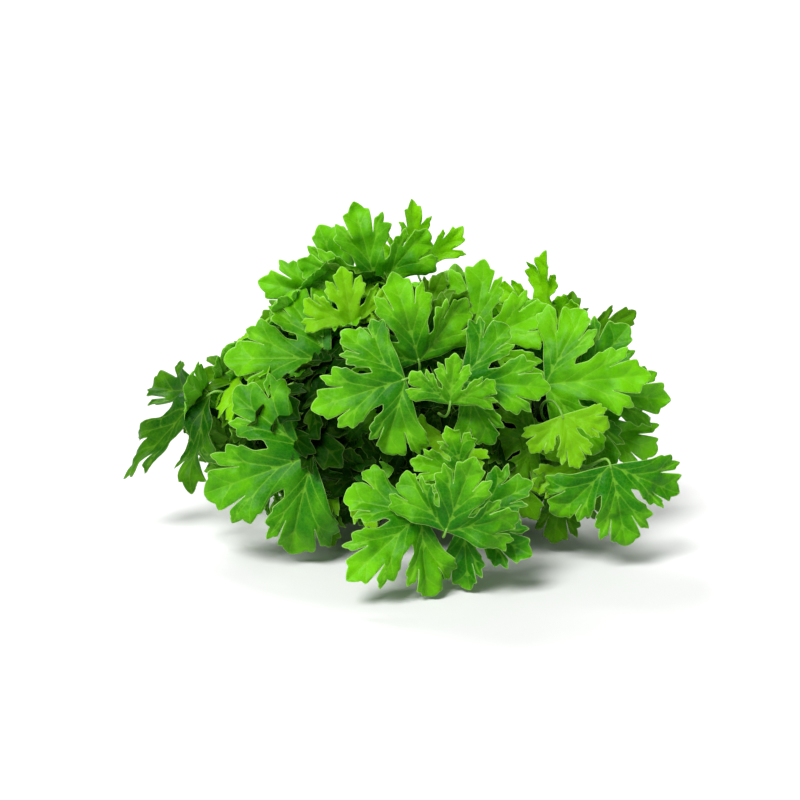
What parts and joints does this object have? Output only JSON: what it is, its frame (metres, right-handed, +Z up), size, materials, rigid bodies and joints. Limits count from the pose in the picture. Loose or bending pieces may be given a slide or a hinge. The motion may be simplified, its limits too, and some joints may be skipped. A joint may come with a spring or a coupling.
{
  "type": "bunch of flat-leaf parsley",
  "caption": "Banded bunch of fresh flat-leaf parsley lying on its side: thin stems fanning out into a mound of lobed, toothed green leaves",
  "frame": {"origin": "on the surface that the bunch lies on, under the middle of its box", "axes": "+Z up; +Y along the bunch from the leafy head to the cut ends of the stems; +X to the right as the head is looked at"},
  "size_m": [0.2302, 0.2612, 0.1399],
  "materials": {
    "leaf_mid": "satin",
    "leaf_light": "satin",
    "leaf_dark": "satin",
    "stem": "satin",
    "band": "matte"
  },
  "bodies": {
    "root": {"stem_centre_left": "stem", "stem_centre_right": "stem", "stem_front_left": "stem", "stem_front_right": "stem", "stem_left_lower": "stem", "stem_right_lower": "stem", "stem_top_left": "stem", "stem_right_upper": "stem", "stem_top_right": "stem", "stem_top_middle": "stem", "stem_left_upper": "stem", "stem_far_left": "stem", "stem_right_middle": "stem", "stem_centre_low": "stem", "stem_back": "stem", "leaf_centre_left_1": "leaf_mid", "leaf_centre_left_2": "leaf_mid", "leaf_centre_left_3": "leaf_mid", "leaf_centre_right_1": "leaf_mid", "leaf_centre_right_2": "leaf_light", "leaf_centre_right_3": "leaf_dark", "leaf_front_left_1": "leaf_mid", "leaf_front_left_2": "leaf_mid", "leaf_front_right_1": "leaf_mid", "leaf_front_right_2": "leaf_mid", "leaf_left_lower_1": "leaf_mid", "leaf_left_lower_2": "leaf_dark", "leaf_left_lower_3": "leaf_mid", "leaf_left_lower_4": "leaf_light", "leaf_right_lower_1": "leaf_mid", "leaf_right_lower_2": "leaf_dark", "leaf_right_lower_3": "leaf_light", "leaf_top_left_1": "leaf_mid", "leaf_top_left_2": "leaf_mid", "leaf_top_left_3": "leaf_dark", "leaf_top_left_4": "leaf_dark", "leaf_right_upper_1": "leaf_mid", "leaf_right_upper_2": "leaf_mid", "leaf_right_upper_3": "leaf_dark", "leaf_top_right_1": "leaf_light", "leaf_top_right_2": "leaf_mid", "leaf_top_right_3": "leaf_mid", "leaf_top_middle_1": "leaf_light", "leaf_top_middle_2": "leaf_light", "leaf_left_upper_1": "leaf_mid", "leaf_left_upper_2": "leaf_dark", "leaf_left_upper_3": "leaf_light", "leaf_far_left_1": "leaf_dark", "leaf_far_left_2": "leaf_dark", "leaf_far_left_3": "leaf_mid", "leaf_right_middle_1": "leaf_mid", "leaf_right_middle_2": "leaf_light", "leaf_right_middle_3": "leaf_dark", "leaf_right_middle_4": "leaf_dark", "leaf_centre_low_1": "leaf_light", "leaf_centre_low_2": "leaf_dark", "leaf_back_1": "leaf_mid", "leaf_back_2": "leaf_dark", "leaf_back_3": "leaf_mid", "band": "band"}
  },
  "joints": []
}
